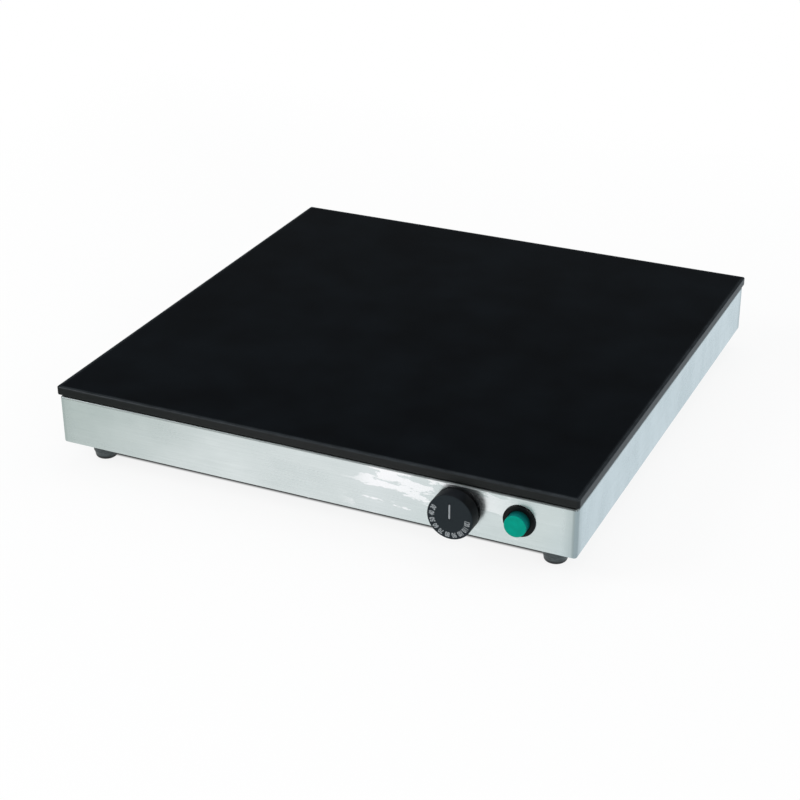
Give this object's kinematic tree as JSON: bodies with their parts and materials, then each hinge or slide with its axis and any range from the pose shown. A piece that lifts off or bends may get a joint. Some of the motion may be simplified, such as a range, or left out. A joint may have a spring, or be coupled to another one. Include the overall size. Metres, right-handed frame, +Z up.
{
  "type": "hot plate",
  "caption": "Square countertop warming plate: black glass top on a low stainless steel casing, thermostat knob and green push button at the front, rubber feet below.",
  "frame": {"origin": "centre of the bounding box's bottom, on the surface that the feet stand on", "axes": "+Z up, out of the glass top; +Y towards the back wall with the cable gland; +X to the right as seen from the front, where the knob and the button are"},
  "size_m": [0.5, 0.5314, 0.078],
  "materials": {
    "black_glass": "polished",
    "stainless_steel": "satin",
    "galvanised_steel": "satin",
    "zinc_plated_steel": "satin",
    "spring_steel": "gloss",
    "aluminium_sheet": "satin",
    "brass": "satin",
    "copper": "satin",
    "black_silicone": "matte",
    "dark_rubber": "matte",
    "orange_silicone": "matte",
    "mineral_wool": "matte",
    "knob_black": "satin",
    "bezel_black": "satin",
    "button_green": "gloss",
    "nylon_grey": "satin",
    "ivory_plastic": "satin",
    "lamp_glass": "polished",
    "brown_insulation": "satin",
    "blue_insulation": "satin",
    "green_yellow_insulation": "satin",
    "white_insulation": "satin"
  },
  "bodies": {
    "chassis": {"glass_top": "black_glass", "glass_seal": "black_silicone", "casing": "stainless_steel", "base_plate": "galvanised_steel", "base_screw_front": "zinc_plated_steel", "base_screw_rear": "zinc_plated_steel", "base_screw_left_front": "zinc_plated_steel", "base_screw_left_rear": "zinc_plated_steel", "base_screw_right_front": "zinc_plated_steel", "base_screw_right_rear": "zinc_plated_steel", "foot_front_left": "dark_rubber", "foot_front_right": "dark_rubber", "foot_rear_left": "dark_rubber", "foot_rear_right": "dark_rubber", "foot_screw_front_left": "zinc_plated_steel", "foot_screw_front_right": "zinc_plated_steel", "foot_screw_rear_left": "zinc_plated_steel", "foot_screw_rear_right": "zinc_plated_steel", "foot_nut_front_left": "zinc_plated_steel", "foot_nut_front_right": "zinc_plated_steel", "foot_nut_rear_left": "zinc_plated_steel", "foot_nut_rear_right": "zinc_plated_steel", "heat_spreader": "aluminium_sheet", "heater_mat": "orange_silicone", "insulation_pad": "mineral_wool", "crossbar_front": "galvanised_steel", "crossbar_rear": "galvanised_steel", "thermostat_body": "ivory_plastic", "thermostat_screw_left": "zinc_plated_steel", "thermostat_screw_right": "zinc_plated_steel", "capillary_tube": "copper", "sensing_bulb": "copper", "bulb_clip": "spring_steel", "overheat_cutout": "nylon_grey", "button_bezel": "bezel_black", "button_nut": "bezel_black", "button_spring": "spring_steel", "switch_body": "nylon_grey", "indicator_lamp": "lamp_glass", "gland_body": "nylon_grey", "gland_seal": "dark_rubber", "gland_dome_nut": "nylon_grey", "gland_locknut": "nylon_grey", "terminal_block": "ivory_plastic", "terminal_block_screw": "zinc_plated_steel", "earth_screw": "zinc_plated_steel", "earth_nut": "brass", "wire_live": "brown_insulation", "wire_switched": "brown_insulation", "wire_regulated": "white_insulation", "wire_heater": "white_insulation", "wire_neutral": "blue_insulation", "wire_earth": "green_yellow_insulation"},
    "knob": {"knob": "knob_black", "knob_clip": "spring_steel", "thermostat_shaft": "brass"},
    "button": {"button_cap": "button_green", "button_carrier": "nylon_grey"}
  },
  "joints": [
    {"name": "knob_turn", "type": "hinge", "parent": "chassis", "child": "knob", "pos_m": [0.1428, -0.2499, 0.0434], "axis": [0, 1, 0], "range_deg": [0, 263]},
    {"name": "button_press", "type": "slide", "parent": "chassis", "child": "button", "axis": [0, 1, 0], "range_m": [0, 0.003], "stiffness_N_per_m": 800, "springref_m": -0.001, "deforming": ["button_spring"]}
  ]
}
